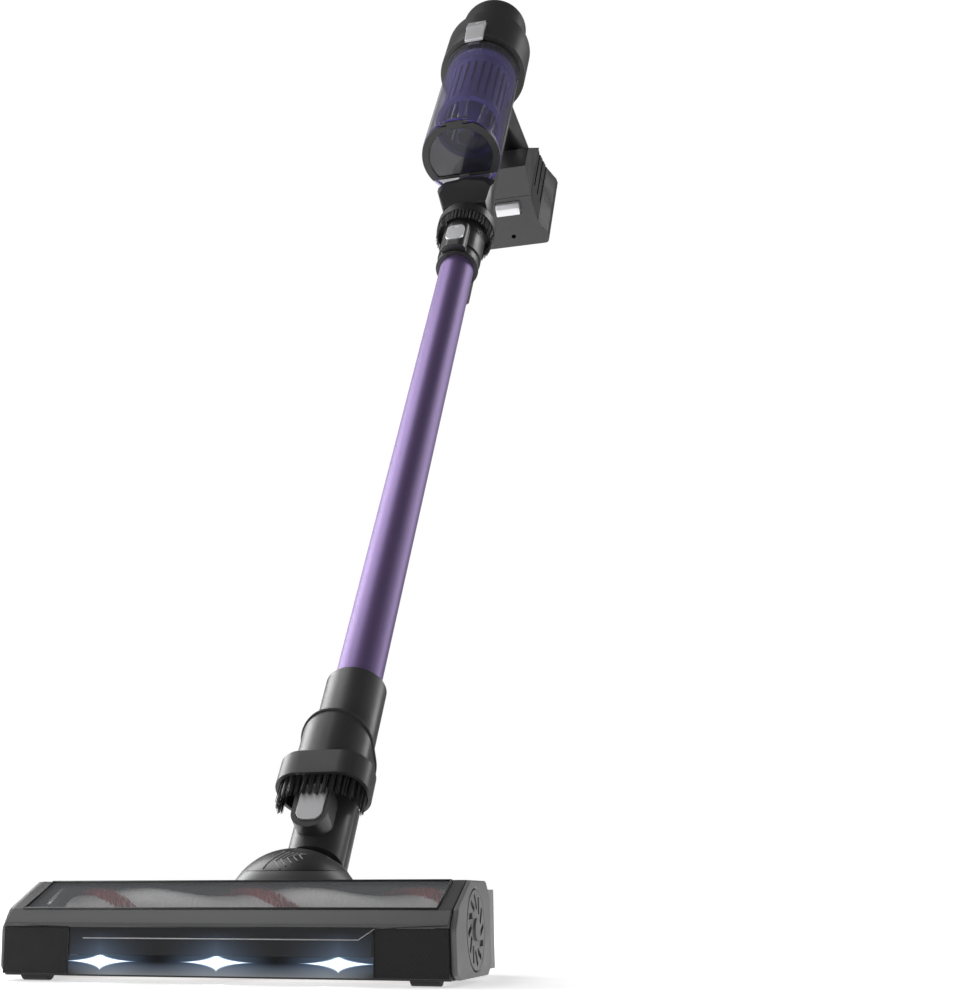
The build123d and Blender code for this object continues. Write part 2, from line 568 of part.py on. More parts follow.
def make_light_strip():
    outline = [(FRONT_Y + 0.4, 4), (FRONT_Y + 0.4, LIGHT_TOP_Z), (FRONT_Y + 3, LIGHT_TOP_Z), (FRONT_Y + 3, 4)]
    return prism_x(outline, -LIGHT_HALF, LIGHT_HALF)


def make_led_board():
    return block(-84, 84, FRONT_Y + 5, FRONT_Y + 6.6, 6.5, 20)


def make_leds():
    lamps = [block(x - 5, x + 5, FRONT_Y + 3.2, FRONT_Y + 5, 8.5, 13.5) for x in LED_X]
    return Compound(children=lamps)


def cap_outline():
    return [(-121.5, 6), (-122.5, 28), (-115, 38.5), (-83, 53.3), (-48, 53.3), (-38, 44), (-38, 8), (-46, 3), (-112, 3)]


def make_right_end_cap():
    cap = prism_x(cap_outline(), HEAD_HALF, HEAD_HALF + END_CAP, 4.5)
    return cap - rod_x(21.5, HEAD_HALF - 1, HEAD_HALF + 5, BRUSH_Y, BRUSH_Z + 1)


def make_left_end_cap():
    return mirrored(prism_x(cap_outline(), HEAD_HALF, HEAD_HALF + END_CAP, 4.5))


def make_brush_release_disc():
    """Quarter-turn cover over the brush's end, with a vaned face and a raised boss."""
    disc = rod_x(21, HEAD_HALF + 0.4, HEAD_HALF + END_CAP, BRUSH_Y, BRUSH_Z + 1)
    cuts = [
        Pos(HEAD_HALF + END_CAP, BRUSH_Y, BRUSH_Z + 1) * Rotation(30 * turn, 0, 0) * Pos(0, 0, 14.5)
        * Rotation(32, 0, 0) * Box(2.6, 3.2, 9)
        for turn in range(12)
    ]
    boss = rod_x(6, HEAD_HALF + 0.5, HEAD_HALF + END_CAP + 1.2, BRUSH_Y, BRUSH_Z + 1)
    return cut_all(disc, cuts) + boss


def make_rear_housing():
    side = [(CHAMBER_REAR_Y + 2, 4.5), (CHAMBER_REAR_Y + 2, 47.2), (CHAMBER_REAR_Y + 4.2, REAR_TOP_Z),
            (REAR_Y - 12, REAR_TOP_Z), (REAR_Y, 36), (REAR_Y, 13), (REAR_Y - 8, 4.5)]
    inner = [(CHAMBER_REAR_Y + 1, 7), (CHAMBER_REAR_Y + 1, 46.5), (REAR_Y - 13, 46.5),
             (REAR_Y - 2.5, 35), (REAR_Y - 2.5, 14), (REAR_Y - 9, 7)]
    body = prism_x(side, -122, 122, 1.5)
    outline = [(-130, -60), (130, -60), (122, REAR_Y - 14), (108, REAR_Y), (-108, REAR_Y), (-122, REAR_Y - 14)]
    corners = prism_z(outline, 0, 60, 4)
    body = body & corners
    hollow = prism_x(inner, 46, 119.5) + prism_x(inner, -119.5, -46)
    well = rod_x(DOME_R + 1.6, -DOME_HALF - 0.7, DOME_HALF + 0.7, 0, PIVOT_Z) & block(-60, 60, -60, 60, 7, 90)
    notch = block(-25, 25, 0, REAR_Y + 5, 7, 60)
    body = body - hollow
    for s in (1, -1):
        body = body + block(s * WHEEL_X - 12, s * WHEEL_X + 12, WHEEL_Y - 10, WHEEL_Y + 10, 5, 18)
        body = body - block(s * WHEEL_X - 7, s * WHEEL_X + 7, WHEEL_Y - 9.5, WHEEL_Y + 9.5, -1, 17)
    belt_way = block(BELT_X0 - 0.5, BELT_X1 + 2, CHAMBER_REAR_Y, MOTOR_Y + 10, 13, 42)
    return cut_all(body, [well, notch, belt_way, rod_x(PIN_R, -56, 56, 0, PIVOT_Z)] + wheel_axles())


def make_pivot_pins():
    """Pair of pins that the dome tilts on."""
    return Compound(children=[rod_x(PIN_R, 31, 52, 0, PIVOT_Z), rod_x(PIN_R, -52, -31, 0, PIVOT_Z)])


def make_brush_core():
    body = rod_x(BRUSH_CORE_R, BRUSH_X0, BRUSH_X1, BRUSH_Y, BRUSH_Z)
    shaft = rod_x(STUB_R, 1 - HEAD_HALF, HEAD_HALF - 1, BRUSH_Y, BRUSH_Z)
    return body + shaft


def make_brush_sleeve():
    """Soft spiral pile around the core, drawn to its full reach."""
    x0, x1 = BRUSH_X0 + 1, BRUSH_X1 - 1
    return rod_x(BRUSH_R, x0, x1, BRUSH_Y, BRUSH_Z) - rod_x(BRUSH_CORE_R, x0 - 1, x1 + 1, BRUSH_Y, BRUSH_Z)


def make_brush_pulley():
    body = rod_x(BRUSH_PULLEY_R, BELT_X0, BELT_X1, BRUSH_Y, BRUSH_Z)
    return body - rod_x(STUB_R, -200, 200, BRUSH_Y, BRUSH_Z)


def make_motor_pulley():
    body = rod_x(MOTOR_PULLEY_R, BELT_X0, BELT_X1, MOTOR_Y, MOTOR_Z)
    return body - rod_x(MOTOR_SHAFT_R + 0.06, -200, 200, MOTOR_Y, MOTOR_Z)


def make_brush_motor():
    can = rod_x(14, -108, -52, MOTOR_Y, MOTOR_Z)
    nose = rod_x(7, -111, -108, MOTOR_Y, MOTOR_Z)
    shaft = rod_x(MOTOR_SHAFT_R, BELT_X0, -110, MOTOR_Y, MOTOR_Z)
    return can + nose + shaft


def make_drive_belt():
    """Toothed belt from the motor to the brush, as its closed loop."""
    gap = 0.25
    span = math.hypot(MOTOR_Y - BRUSH_Y, MOTOR_Z - BRUSH_Z)
    rise = math.degrees(math.atan2(MOTOR_Z - BRUSH_Z, MOTOR_Y - BRUSH_Y))

    def loop(extra):
        big, small = BRUSH_PULLEY_R + gap + extra, MOTOR_PULLEY_R + gap + extra
        lean = math.asin((big - small) / span)
        points = [(big * math.sin(lean), big * math.cos(lean)),
                  (span + small * math.sin(lean), small * math.cos(lean)),
                  (span + small * math.sin(lean), -small * math.cos(lean)),
                  (big * math.sin(lean), -big * math.cos(lean))]
        web = prism_x(points, BELT_X0 + 0.4, BELT_X1 - 0.4)
        ends = rod_x(big, BELT_X0 + 0.4, BELT_X1 - 0.4, 0, 0) + rod_x(small, BELT_X0 + 0.4, BELT_X1 - 0.4, span, 0)
        return web + ends

    belt = loop(1.4) - loop(0.0)
    return Pos(0, BRUSH_Y, BRUSH_Z) * Rotation(rise, 0, 0) * belt


def wheel(radius, half_width, x, y):
    body = rod_x(radius, x - half_width, x + half_width, y, radius)
    return body - rod_x(AXLE_R + 0.06, x - 20, x + 20, y, radius)


def roller_axles():
    return [rod_x(AXLE_R, s * ROLLER_X - 10, s * ROLLER_X + 10, ROLLER_Y, ROLLER_R) for s in (1, -1)]


def wheel_axles():
    return [rod_x(AXLE_R, s * WHEEL_X - 10, s * WHEEL_X + 10, WHEEL_Y, WHEEL_R) for s in (1, -1)]


def make_axles():
    """Steel axle of each roller and wheel, held at both ends."""
    return Compound(children=roller_axles() + wheel_axles())


# ---- every node, in the frame it is drawn in ----
ON_STICK = {
    "wand_tube": make_wand_tube(),
    "lower_tube_collar": make_lower_tube_collar(),
    "upper_tube_collar": make_upper_tube_collar(),
    "contact_cover": make_contact_cover(),
    "wand_release_button": make_tube_button(*WAND_BUTTON_Z, -28.4, 6.0),
    "lower_brush_shroud": make_lower_brush_shroud(),
    "lower_brush_bristles": make_lower_brush_bristles(),
    "upper_brush_ring": make_upper_brush_ring(),
    "upper_brush_bristles": make_upper_brush_bristles(),
    "inlet_nozzle": make_inlet_nozzle(),
    "inlet_hood": make_inlet_hood(),
    "main_frame": make_main_frame(),
    "dust_bin": make_dust_bin(),
    "bin_flap_ring": make_bin_flap_ring(),
    "bin_flap_window": make_bin_flap_window(),
    "flap_catch": make_flap_catch(),
    "cyclone_shroud": make_cyclone_shroud(),
    "cyclone_cone": make_cyclone_cone(),
    "bin_seal": make_bin_seal(),
    "motor_housing": make_motor_housing(),
    "bin_release_button": make_bin_release_button(),
    "suction_motor": make_suction_motor(),
    "impeller": make_impeller(),
    "filter_cap": make_filter_cap(),
    "exhaust_filter": make_exhaust_filter(),
    "handle_shell": make_handle_shell(),
    "trigger": make_trigger(),
    "battery_dock": make_battery_dock(),
    "battery_pack": make_battery_pack(),
    "battery_release_button": make_battery_release_button(),
    "neck_socket": make_neck_socket(),
    "head_release_button": make_tube_button(*HEAD_BUTTON_Z, -29.0, 6.5),
    "neck_tube": make_neck_tube(),
    "pivot_dome": make_pivot_dome(),
    "pivot_collar": make_pivot_collar(),
}

ON_FLOOR = {
    "head_base": make_head_base(),
    "head_top_cover": make_head_top_cover(),
    "brush_window": make_brush_window(),
    "front_bumper": make_front_bumper(),
    "corner_panel_right": make_corner_panel(1),
    "corner_panel_left": make_corner_panel(-1),
    "light_strip": make_light_strip(),
    "led_board": make_led_board(),
    "leds": make_leds(),
    "right_end_cap": make_right_end_cap(),
    "left_end_cap": make_left_end_cap(),
    "brush_release_disc": make_brush_release_disc(),
    "rear_housing": make_rear_housing(),
    "brush_core": make_brush_core(),
    "brush_sleeve": make_brush_sleeve(),
    "brush_pulley": make_brush_pulley(),
    "motor_pulley": make_motor_pulley(),
    "brush_motor": make_brush_motor(),
    "drive_belt": make_drive_belt(),
    "pivot_pins": make_pivot_pins(),
    "axles": make_axles(),
    "front_roller_right": wheel(ROLLER_R, 8.0, ROLLER_X, ROLLER_Y),
    "front_roller_left": wheel(ROLLER_R, 8.0, -ROLLER_X, ROLLER_Y),
    "rear_wheel_right": wheel(WHEEL_R, 6.0, WHEEL_X, WHEEL_Y),
    "rear_wheel_left": wheel(WHEEL_R, 6.0, -WHEEL_X, WHEEL_Y),
}

os.makedirs("parts", exist_ok=True)
for name, shape in ON_STICK.items():
    export_step(STICK * shape, f"parts/{name}.step")
for name, shape in ON_FLOOR.items():
    export_step(shape, f"parts/{name}.step")
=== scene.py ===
import json
import math
import random

import bmesh
import bpy
from mathutils import Matrix, Quaternion, Vector


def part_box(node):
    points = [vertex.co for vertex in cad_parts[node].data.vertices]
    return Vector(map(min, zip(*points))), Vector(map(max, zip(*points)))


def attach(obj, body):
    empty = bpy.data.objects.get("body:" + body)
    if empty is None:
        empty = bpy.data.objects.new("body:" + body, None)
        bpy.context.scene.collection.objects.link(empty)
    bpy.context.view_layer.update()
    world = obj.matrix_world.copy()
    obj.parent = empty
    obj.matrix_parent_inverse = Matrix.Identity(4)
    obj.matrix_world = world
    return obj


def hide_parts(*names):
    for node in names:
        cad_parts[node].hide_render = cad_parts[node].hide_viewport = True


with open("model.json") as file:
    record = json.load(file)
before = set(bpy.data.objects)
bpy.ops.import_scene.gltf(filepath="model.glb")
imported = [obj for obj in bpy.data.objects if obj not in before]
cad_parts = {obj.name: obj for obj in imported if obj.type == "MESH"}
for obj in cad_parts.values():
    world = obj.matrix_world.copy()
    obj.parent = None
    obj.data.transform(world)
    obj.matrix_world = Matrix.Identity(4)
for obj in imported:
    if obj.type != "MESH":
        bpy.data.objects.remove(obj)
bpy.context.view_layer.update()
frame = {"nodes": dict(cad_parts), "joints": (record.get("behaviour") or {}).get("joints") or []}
MM = 0.001
JOINTS = {joint["name"]: joint for joint in frame["joints"]}
random.seed(11)

# ---- two frames: the floor head's own, and the leaning stick's ----
FLOOR = Matrix.Identity(4)
STICK_UP = Vector(JOINTS["lower_brush_slide"]["axis"]).normalized()
STICK_BACK = STICK_UP.cross(Vector((1, 0, 0)))
TILT_POINT = Vector(JOINTS["neck_tilt"]["pos_m"])
WAND_BEHIND_TILT = 10 * MM
WAND_ABOVE_TILT = 10 * MM


def stick_frame():
    """Frame of the wand: Z up its axis, Y to its back, with its foot just above the tilt axis."""
    origin = TILT_POINT + WAND_BEHIND_TILT * STICK_BACK + WAND_ABOVE_TILT * STICK_UP
    turned = Matrix((Vector((1, 0, 0)), STICK_BACK, STICK_UP)).transposed().to_4x4()
    return Matrix.Translation(origin) @ turned


STICK = stick_frame()


def box_in(place, node):
    """Lowest and highest corner of a CAD node, in millimetres of the frame that is named."""
    inverse = place.inverted()
    points = [inverse @ vertex.co for vertex in frame["nodes"][node].data.vertices]
    low = Vector([min(p[axis] for p in points) for axis in range(3)])
    high = Vector([max(p[axis] for p in points) for axis in range(3)])
    return low / MM, high / MM


# ---- material helpers ----
PATCH_SCALE = 35.0
PATCH_TONE = 0.12
PATCH_GLOSS = 0.05
GRAIN_DEPTH = 0.15 * MM


class Surface:
    """A Principled material and the few node helpers that the finishes share."""

    def __init__(self, name, colour, roughness, metallic=0.0, **sockets):
        self.material = bpy.data.materials.new(name)
        self.material.use_nodes = True
        self.tree = self.material.node_tree
        self.shader = self.tree.nodes["Principled BSDF"]
        self.shader.inputs["Base Color"].default_value = (*colour, 1)
        self.shader.inputs["Roughness"].default_value = roughness
        self.shader.inputs["Metallic"].default_value = metallic
        for socket, value in sockets.items():
            self.shader.inputs[socket.replace("_", " ")].default_value = value
        self.place = self.add("TexCoord").outputs["Object"]

    def add(self, kind, **settings):
        made = self.tree.nodes.new("ShaderNode" + kind)
        for key, value in settings.items():
            setattr(made, key, value)
        return made

    def join(self, source, target):
        self.tree.links.new(source, target)

    def math(self, operation, first, second=0.0, clamp=False):
        made = self.add("Math", operation=operation, use_clamp=clamp)
        for socket, value in zip(made.inputs, (first, second)):
            if isinstance(value, (int, float)):
                socket.default_value = value
            else:
                self.join(value, socket)
        return made.outputs[0]

    def feed(self, socket, source):
        """Let a node's output drive one socket of the shader."""
        self.join(source, self.shader.inputs[socket])

    def axis(self, letter):
        """One coordinate of the point, in metres."""
        split = self.add("SeparateXYZ")
        self.join(self.place, split.inputs[0])
        return split.outputs[letter]

    def noise(self, scale, detail=2.0, stretch=None):
        made = self.add("TexNoise")
        made.inputs["Scale"].default_value = scale
        made.inputs["Detail"].default_value = detail
        source = self.place
        if stretch is not None:
            mapping = self.add("Mapping")
            mapping.inputs["Scale"].default_value = stretch
            self.join(source, mapping.inputs["Vector"])
            source = mapping.outputs[0]
        self.join(source, made.inputs["Vector"])
        return made.outputs["Fac"]

    def spread(self, value, low, high, from_low=0.0, from_high=1.0):
        """Value carried from one range to another, and held at its ends."""
        made = self.add("MapRange")
        self.join(value, made.inputs["Value"])
        ends = {"From Min": from_low, "From Max": from_high, "To Min": low, "To Max": high}
        for socket, number in ends.items():
            made.inputs[socket].default_value = number
        return made.outputs["Result"]

    def mix(self, share, first, second):
        """Colour between first and second. Each is a colour or a socket."""
        made = self.add("Mix", data_type="RGBA")
        self.join(share, made.inputs["Factor"])
        for socket, value in ((made.inputs[6], first), (made.inputs[7], second)):
            if isinstance(value, tuple):
                socket.default_value = (*value, 1)
            else:
                self.join(value, socket)
        return made.outputs[2]

    def bump(self, height, strength, distance):
        made = self.add("Bump")
        made.inputs["Strength"].default_value = strength
        made.inputs["Distance"].default_value = distance
        self.join(height, made.inputs["Height"])
        self.feed("Normal", made.outputs[0])

    def uneven(self, colour, gloss, grain=0.12, grain_scale=1400.0):
        """Slightly uneven tone and gloss, over a fine spark-eroded grain."""
        patch = self.noise(PATCH_SCALE, 4.0)
        lighter = tuple(min(1.0, c * (1 + PATCH_TONE)) for c in colour)
        darker = tuple(c * (1 - PATCH_TONE) for c in colour)
        self.feed("Base Color", self.mix(patch, darker, lighter))
        self.feed("Roughness", self.spread(patch, gloss - PATCH_GLOSS, gloss + PATCH_GLOSS, 0.3, 0.7))
        self.bump(self.noise(grain_scale), grain, GRAIN_DEPTH)
        return self


def plastic(name, shade, gloss, tint=(1, 1, 1.03), **settings):
    colour = tuple(shade * t for t in tint)
    return Surface(name, colour, gloss).uneven(colour, gloss, **settings).material


def anodised_purple():
    made = Surface("anodised_purple", (0.12, 0.07, 0.20), 0.46, 0.7)
    streak = made.noise(220.0, 3.0, stretch=(9, 1, 1))
    made.feed("Base Color", made.mix(streak, (0.150, 0.098, 0.235), (0.19, 0.13, 0.29)))
    made.feed("Roughness", made.spread(made.noise(2600.0, 1.0), 0.40, 0.52))
    made.bump(made.noise(2600.0, 1.0), 0.08, 0.1 * MM)
    return made.material


def satin_silver():
    made = Surface("satin_silver", (0.50, 0.50, 0.51), 0.34, 0.45)
    grain = made.noise(1500.0, 2.0, stretch=(1, 12, 12))
    made.feed("Base Color", made.mix(grain, (0.50, 0.50, 0.51), (0.62, 0.62, 0.63)))
    made.feed("Roughness", made.spread(grain, 0.26, 0.38))
    made.bump(grain, 0.06, 0.1 * MM)
    return made.material


def steel():
    made = Surface("ground_steel", (0.45, 0.45, 0.46), 0.3, 1.0)
    grain = made.noise(900.0, 3.0, stretch=(1, 20, 20))
    made.feed("Roughness", made.spread(grain, 0.22, 0.42))
    made.feed("Base Color", made.mix(grain, (0.38, 0.38, 0.39), (0.52, 0.52, 0.53)))
    return made.material


def clear(name, tint, open_share, edge_share, shine=0.32):
    """Thin clear plastic: nearly open where it is looked through squarely, closed towards its edges."""
    gloss = 0.06
    made = Surface(name, tint, gloss, IOR=1.5, Specular_IOR_Level=shine)
    facing = made.add("LayerWeight")
    facing.inputs["Blend"].default_value = 0.35
    haze = made.noise(60.0, 3.0)
    share = made.spread(facing.outputs["Facing"], open_share, edge_share)
    uneven_share = made.math("ADD", share, made.spread(haze, -0.02, 0.02), clamp=True)
    made.feed("Alpha", uneven_share)
    made.feed("Roughness", made.spread(haze, gloss, gloss + 0.05))
    return made.material


def rubber(name, shade):
    colour, gloss = (shade, shade, shade), 0.62
    return Surface(name, colour, gloss).uneven(colour, gloss, grain=0.3, grain_scale=900.0).material


def fibre(name, darkest, lightest, gloss):
    """Nylon or pile fibre, a little different from strand to strand."""
    made = Surface(name, darkest, gloss, Sheen_Weight=0.3, Sheen_Roughness=0.4)
    made.feed("Base Color", made.mix(made.noise(700.0), darkest, lightest))
    made.bump(made.noise(2200.0), 0.3, 0.2 * MM)
    return made.material


def diamond_panel():
    """Black panel moulded with a fine diamond pattern."""
    made = Surface("diamond_panel", (0.02, 0.02, 0.022), 0.34, Specular_IOR_Level=0.25)
    pitch = 2.6 * MM
    across, up = made.axis("X"), made.axis("Z")
    waves = []
    for sign in (1, -1):
        slope = made.math("ADD", across, made.math("MULTIPLY", up, sign))
        waves.append(made.math("PINGPONG", made.math("DIVIDE", slope, pitch), 0.5))
    relief = made.math("MINIMUM", waves[0], waves[1])
    groove = made.spread(relief, 0.0, 1.0, 0.0, 0.12)
    made.feed("Base Color", made.mix(groove, (0.004, 0.004, 0.005), (0.012, 0.012, 0.013)))
    made.feed("Roughness", made.spread(groove, 0.6, 0.3))
    made.bump(groove, 0.6, 0.25 * MM)
    return made.material


LAMP_SPACING = 68 * MM
LAMP_HEIGHT = 11.0 * MM
LAMP_BLUE = (0.45, 0.65, 1.0)
PANEL_HALF = 86 * MM
# top and strength of the painted lamp glow on the front panel; the lens foot glows at the same strength
PANEL_GLOW_TOP = 27 * MM
PANEL_GLOW = 0.17


def two_tone_band(low, high):
    """Front bumper: mid grey band above a dark panel, with a painted blue glow over each lamp: emission on the
    panel stands for the lamps' light falling on it.
    """
    made = Surface("front_band", (0.12, 0.12, 0.122), 0.36, Specular_IOR_Level=0.3)
    split = made.spread(made.axis("Z"), 0.0, 1.0, low, high)
    patch = made.noise(30.0, 3.0)
    grey = made.mix(patch, (0.078, 0.078, 0.080), (0.092, 0.092, 0.094))
    made.feed("Base Color", made.mix(split, (0.008, 0.009, 0.011), grey))
    made.feed("Roughness", made.spread(split, 0.26, 0.40))
    # painted light: blue emission on the dark panel near each lamp, fading upwards, stands for the lamps'
    # light falling on it
    across, up = made.axis("X"), made.axis("Z")
    wave = made.math("PINGPONG", made.math("DIVIDE", made.math("ABSOLUTE", across), LAMP_SPACING), 0.5)
    closeness = made.math("SUBTRACT", 1.0, made.math("MULTIPLY", wave, 2.0), clamp=True)
    near_lamp = made.math("POWER", closeness, 2.0)
    low_down = made.spread(up, PANEL_GLOW, 0.0, LAMP_HEIGHT, PANEL_GLOW_TOP)
    inside = made.math("LESS_THAN", made.math("ABSOLUTE", across), PANEL_HALF)
    glow = made.math("MULTIPLY", made.math("MULTIPLY", near_lamp, low_down), inside)
    made.feed("Emission Strength", glow)
    made.shader.inputs["Emission Color"].default_value = (*LAMP_BLUE, 1)
    made.bump(made.noise(1400.0), 0.1, GRAIN_DEPTH)
    return made.material


def dome_shell(seam):
    """Dark cap over a lighter foot, parted at one height of the resting object."""
    made = Surface("dome_shell", (0.03, 0.03, 0.03), 0.38)
    half_blend = 0.2 * MM
    split = made.spread(made.axis("Z"), 0.0, 1.0, seam - half_blend, seam + half_blend)
    patch = made.noise(40.0, 3.0)
    foot = made.mix(patch, (0.075, 0.075, 0.077), (0.092, 0.092, 0.094))
    made.feed("Base Color", made.mix(split, foot, (0.020, 0.020, 0.021)))
    made.feed("Roughness", made.spread(patch, 0.34, 0.44))
    made.bump(made.noise(1400.0), 0.14, GRAIN_DEPTH)
    return made.material


def lit_lens():
    """Smoked strip in front of the lamps: each lamp shows as a thin flat star in a soft blue halo."""
    made = Surface("lit_lens", (0.012, 0.013, 0.015), 0.24, Specular_IOR_Level=0.2)
    across, up = made.axis("X"), made.axis("Z")
    rise = made.math("ABSOLUTE", made.math("SUBTRACT", up, LAMP_HEIGHT))

    def spot(away, reach, height, bend, fade):
        """Bright in the middle, out at reach to the sides and at height up and down."""
        wide = made.math("POWER", made.math("DIVIDE", away, reach), bend)
        tall = made.math("POWER", made.math("DIVIDE", rise, height), bend)
        left = made.math("SUBTRACT", 1.0, made.math("ADD", wide, tall), clamp=True)
        return made.math("POWER", left, fade)

    stars, halos = [], []
    for lamp in (-1, 0, 1):
        away = made.math("ABSOLUTE", made.math("SUBTRACT", across, lamp * LAMP_SPACING))
        stars.append(spot(away, 24 * MM, 5.2 * MM, 0.62, 1.6))
        halos.append(spot(away, 34 * MM, 12.0 * MM, 2.0, 2.0))
    star_sum, halo_sum = (made.math("ADD", made.math("ADD", a, b), c) for a, b, c in (stars, halos))
    towards_ends = made.spread(made.math("ABSOLUTE", across), 1.0, 0.0, 62 * MM, PANEL_HALF)
    low_glow = made.spread(up, PANEL_GLOW, 0.0, 4 * MM, LAMP_HEIGHT)
    foot_glow = made.math("MULTIPLY", low_glow, towards_ends)
    star_power, halo_power = made.math("MULTIPLY", star_sum, 26.0), made.math("MULTIPLY", halo_sum, 0.15)
    power = made.math("ADD", star_power, halo_power)
    made.feed("Emission Strength", made.math("ADD", power, foot_glow))
    near_foot = made.spread(up, 1.0, 0.0, 4 * MM, 10 * MM)
    white_share = made.math("ADD", made.math("MULTIPLY", star_sum, 9.0), near_foot, clamp=True)
    made.feed("Emission Color", made.mix(white_share, LAMP_BLUE, (0.86, 0.93, 1.0)))
    made.feed("Roughness", made.spread(made.noise(500.0), 0.2, 0.3))
    return made.material


def lamp_body():
    made = Surface("lamp", (0.9, 0.9, 0.85), 0.3)
    made.feed("Emission Strength", made.spread(made.noise(400.0), 5.0, 7.0))
    made.shader.inputs["Emission Color"].default_value = (0.8, 0.9, 1.0, 1)
    return made.material


def pleated_paper():
    made = Surface("pleated_paper", (0.8, 0.8, 0.76), 0.9)
    made.feed("Base Color", made.mix(made.noise(300.0, 4.0), (0.72, 0.72, 0.68), (0.86, 0.86, 0.82)))
    made.bump(made.noise(900.0, 4.0), 0.4, 0.2 * MM)
    return made.material


def circuit_board():
    made = Surface("circuit_board", (0.02, 0.12, 0.05), 0.4)
    trace = made.add("TexBrick")
    trace.inputs["Scale"].default_value = 160.0
    made.join(made.place, trace.inputs["Vector"])
    made.feed("Base Color", made.mix(trace.outputs["Fac"], (0.02, 0.11, 0.05), (0.05, 0.2, 0.09)))
    return made.material


FINISH = {
    "purple": anodised_purple(),
    "shell": plastic("dark_shell", 0.016, 0.34),
    "shell_mid": plastic("mid_shell", 0.032, 0.36),
    "cap_grey": plastic("cap_grey", 0.125, 0.42),
    "matt": plastic("matt_shell", 0.022, 0.62),
    "grey": plastic("grey_shell", 0.22, 0.45),
    "gloss": plastic("gloss_black", 0.004, 0.34, grain=0.03),
    "battery": plastic("battery_shell", 0.014, 0.30),
    "violet": plastic("violet_plastic", 0.10, 0.22, tint=(1.0, 0.70, 3.5), grain=0.03),
    "nylon": plastic("nylon", 0.55, 0.5, tint=(1, 1, 0.94)),
    "silver": satin_silver(),
    "steel": steel(),
    "rubber": rubber("soft_rubber", 0.012),
    "bristle": fibre("black_bristle", (0.008, 0.008, 0.008), (0.03, 0.03, 0.031), 0.4),
    "grey_pile": fibre("grey_pile", (0.55, 0.54, 0.53), (0.80, 0.79, 0.78), 0.9),
    "red_pile": fibre("red_pile", (0.42, 0.03, 0.03), (0.62, 0.09, 0.08), 0.8),
    "bin": clear("tinted_bin", (0.10, 0.095, 0.13), 0.08, 0.60, shine=1.0),
    "window": clear("clear_window", (0.42, 0.43, 0.45), 0.10, 0.26),
    "flap": clear("flap_window", (0.010, 0.010, 0.014), 0.66, 0.93, shine=0.5),
    "line_grey": plastic("line_grey", 0.30, 0.35),
    "dark_violet": plastic("dark_violet", 0.02, 0.3, tint=(1.0, 0.85, 1.6)),
    "diamond": diamond_panel(),
    "lens": lit_lens(),
    "lamp": lamp_body(),
    "paper": pleated_paper(),
    "board": circuit_board(),
}

# ---- finishes and edges of the CAD nodes ----
NODE_FINISH = {
    "purple": ["wand_tube"],
    "shell": ["inlet_nozzle", "inlet_hood", "main_frame", "motor_housing", "filter_cap", "handle_shell",
              "battery_dock", "upper_tube_collar", "contact_cover", "upper_brush_ring", "brush_core",
              "head_base"],
    "matt": ["head_top_cover"],
    "grey": ["rear_housing", "neck_tube"],
    "cap_grey": ["pivot_collar", "right_end_cap", "left_end_cap", "brush_release_disc"],
    "shell_mid": ["flap_catch", "trigger", "lower_brush_shroud", "lower_tube_collar", "neck_socket"],
    "gloss": ["bin_flap_ring"],
    "battery": ["battery_pack"],
    "violet": ["cyclone_shroud", "cyclone_cone"],
    "nylon": ["impeller", "brush_pulley", "motor_pulley"],
    "silver": ["wand_release_button", "head_release_button", "bin_release_button",
               "battery_release_button"],
    "steel": ["suction_motor", "brush_motor", "pivot_pins", "axles"],
    "rubber": ["bin_seal", "drive_belt", "front_roller_right", "front_roller_left", "rear_wheel_right",
               "rear_wheel_left"],
    "bristle": ["lower_brush_bristles", "upper_brush_bristles"],
    "grey_pile": ["brush_sleeve"],
    "paper": ["exhaust_filter"],
    "bin": ["dust_bin"],
    "window": ["brush_window"],
    "flap": ["bin_flap_window"],
    "diamond": ["corner_panel_right", "corner_panel_left"],
    "lens": ["light_strip"],
    "board": ["led_board"],
    "lamp": ["leds"],
}
SHARP_EDGES = {"brush_sleeve", "light_strip", "led_board", "leds", "impeller", "drive_belt"}
# widths of the eased edges, in millimetres
EDGE_ROUND = {"rear_housing": 1.6, "right_end_cap": 0.9, "left_end_cap": 0.9, "battery_pack": 1.5,
              "battery_dock": 1.2, "bin_release_button": 0.9, "battery_release_button": 1.2, "inlet_hood": 0.8,
              "head_top_cover": 0.5}
USUAL_ROUND = 0.45
WELD_DISTANCE = 0.005 * MM
FLAT_ANGLE = math.radians(1.0)
EDGE_ANGLE = math.radians(32)
SEAM_ABOVE_TILT = 30.0
DOME_RADIUS = 44.0


def dress_node(node, material):
    """Finish on a CAD node, with its seams welded and its edges eased as a moulding's are."""
    piece = frame["nodes"][node]
    piece.data.materials.clear()
    piece.data.materials.append(material)
    piece.data.shade_smooth()
    weld = piece.modifiers.new("weld", "WELD")
    weld.merge_threshold = WELD_DISTANCE
    flat = piece.modifiers.new("flat", "DECIMATE")
    flat.decimate_type = "DISSOLVE"
    flat.angle_limit = FLAT_ANGLE
    if node not in SHARP_EDGES:
        ease = piece.modifiers.new("ease", "BEVEL")
        ease.width = EDGE_ROUND.get(node, USUAL_ROUND) * MM
        ease.segments = 2
        ease.limit_method = "ANGLE"
        ease.angle_limit = EDGE_ANGLE
        ease.miter_outer = "MITER_ARC"
        ease.harden_normals = False
    smooth = piece.modifiers.new("normals", "WEIGHTED_NORMAL")
    smooth.keep_sharp = True
    smooth.weight = 60


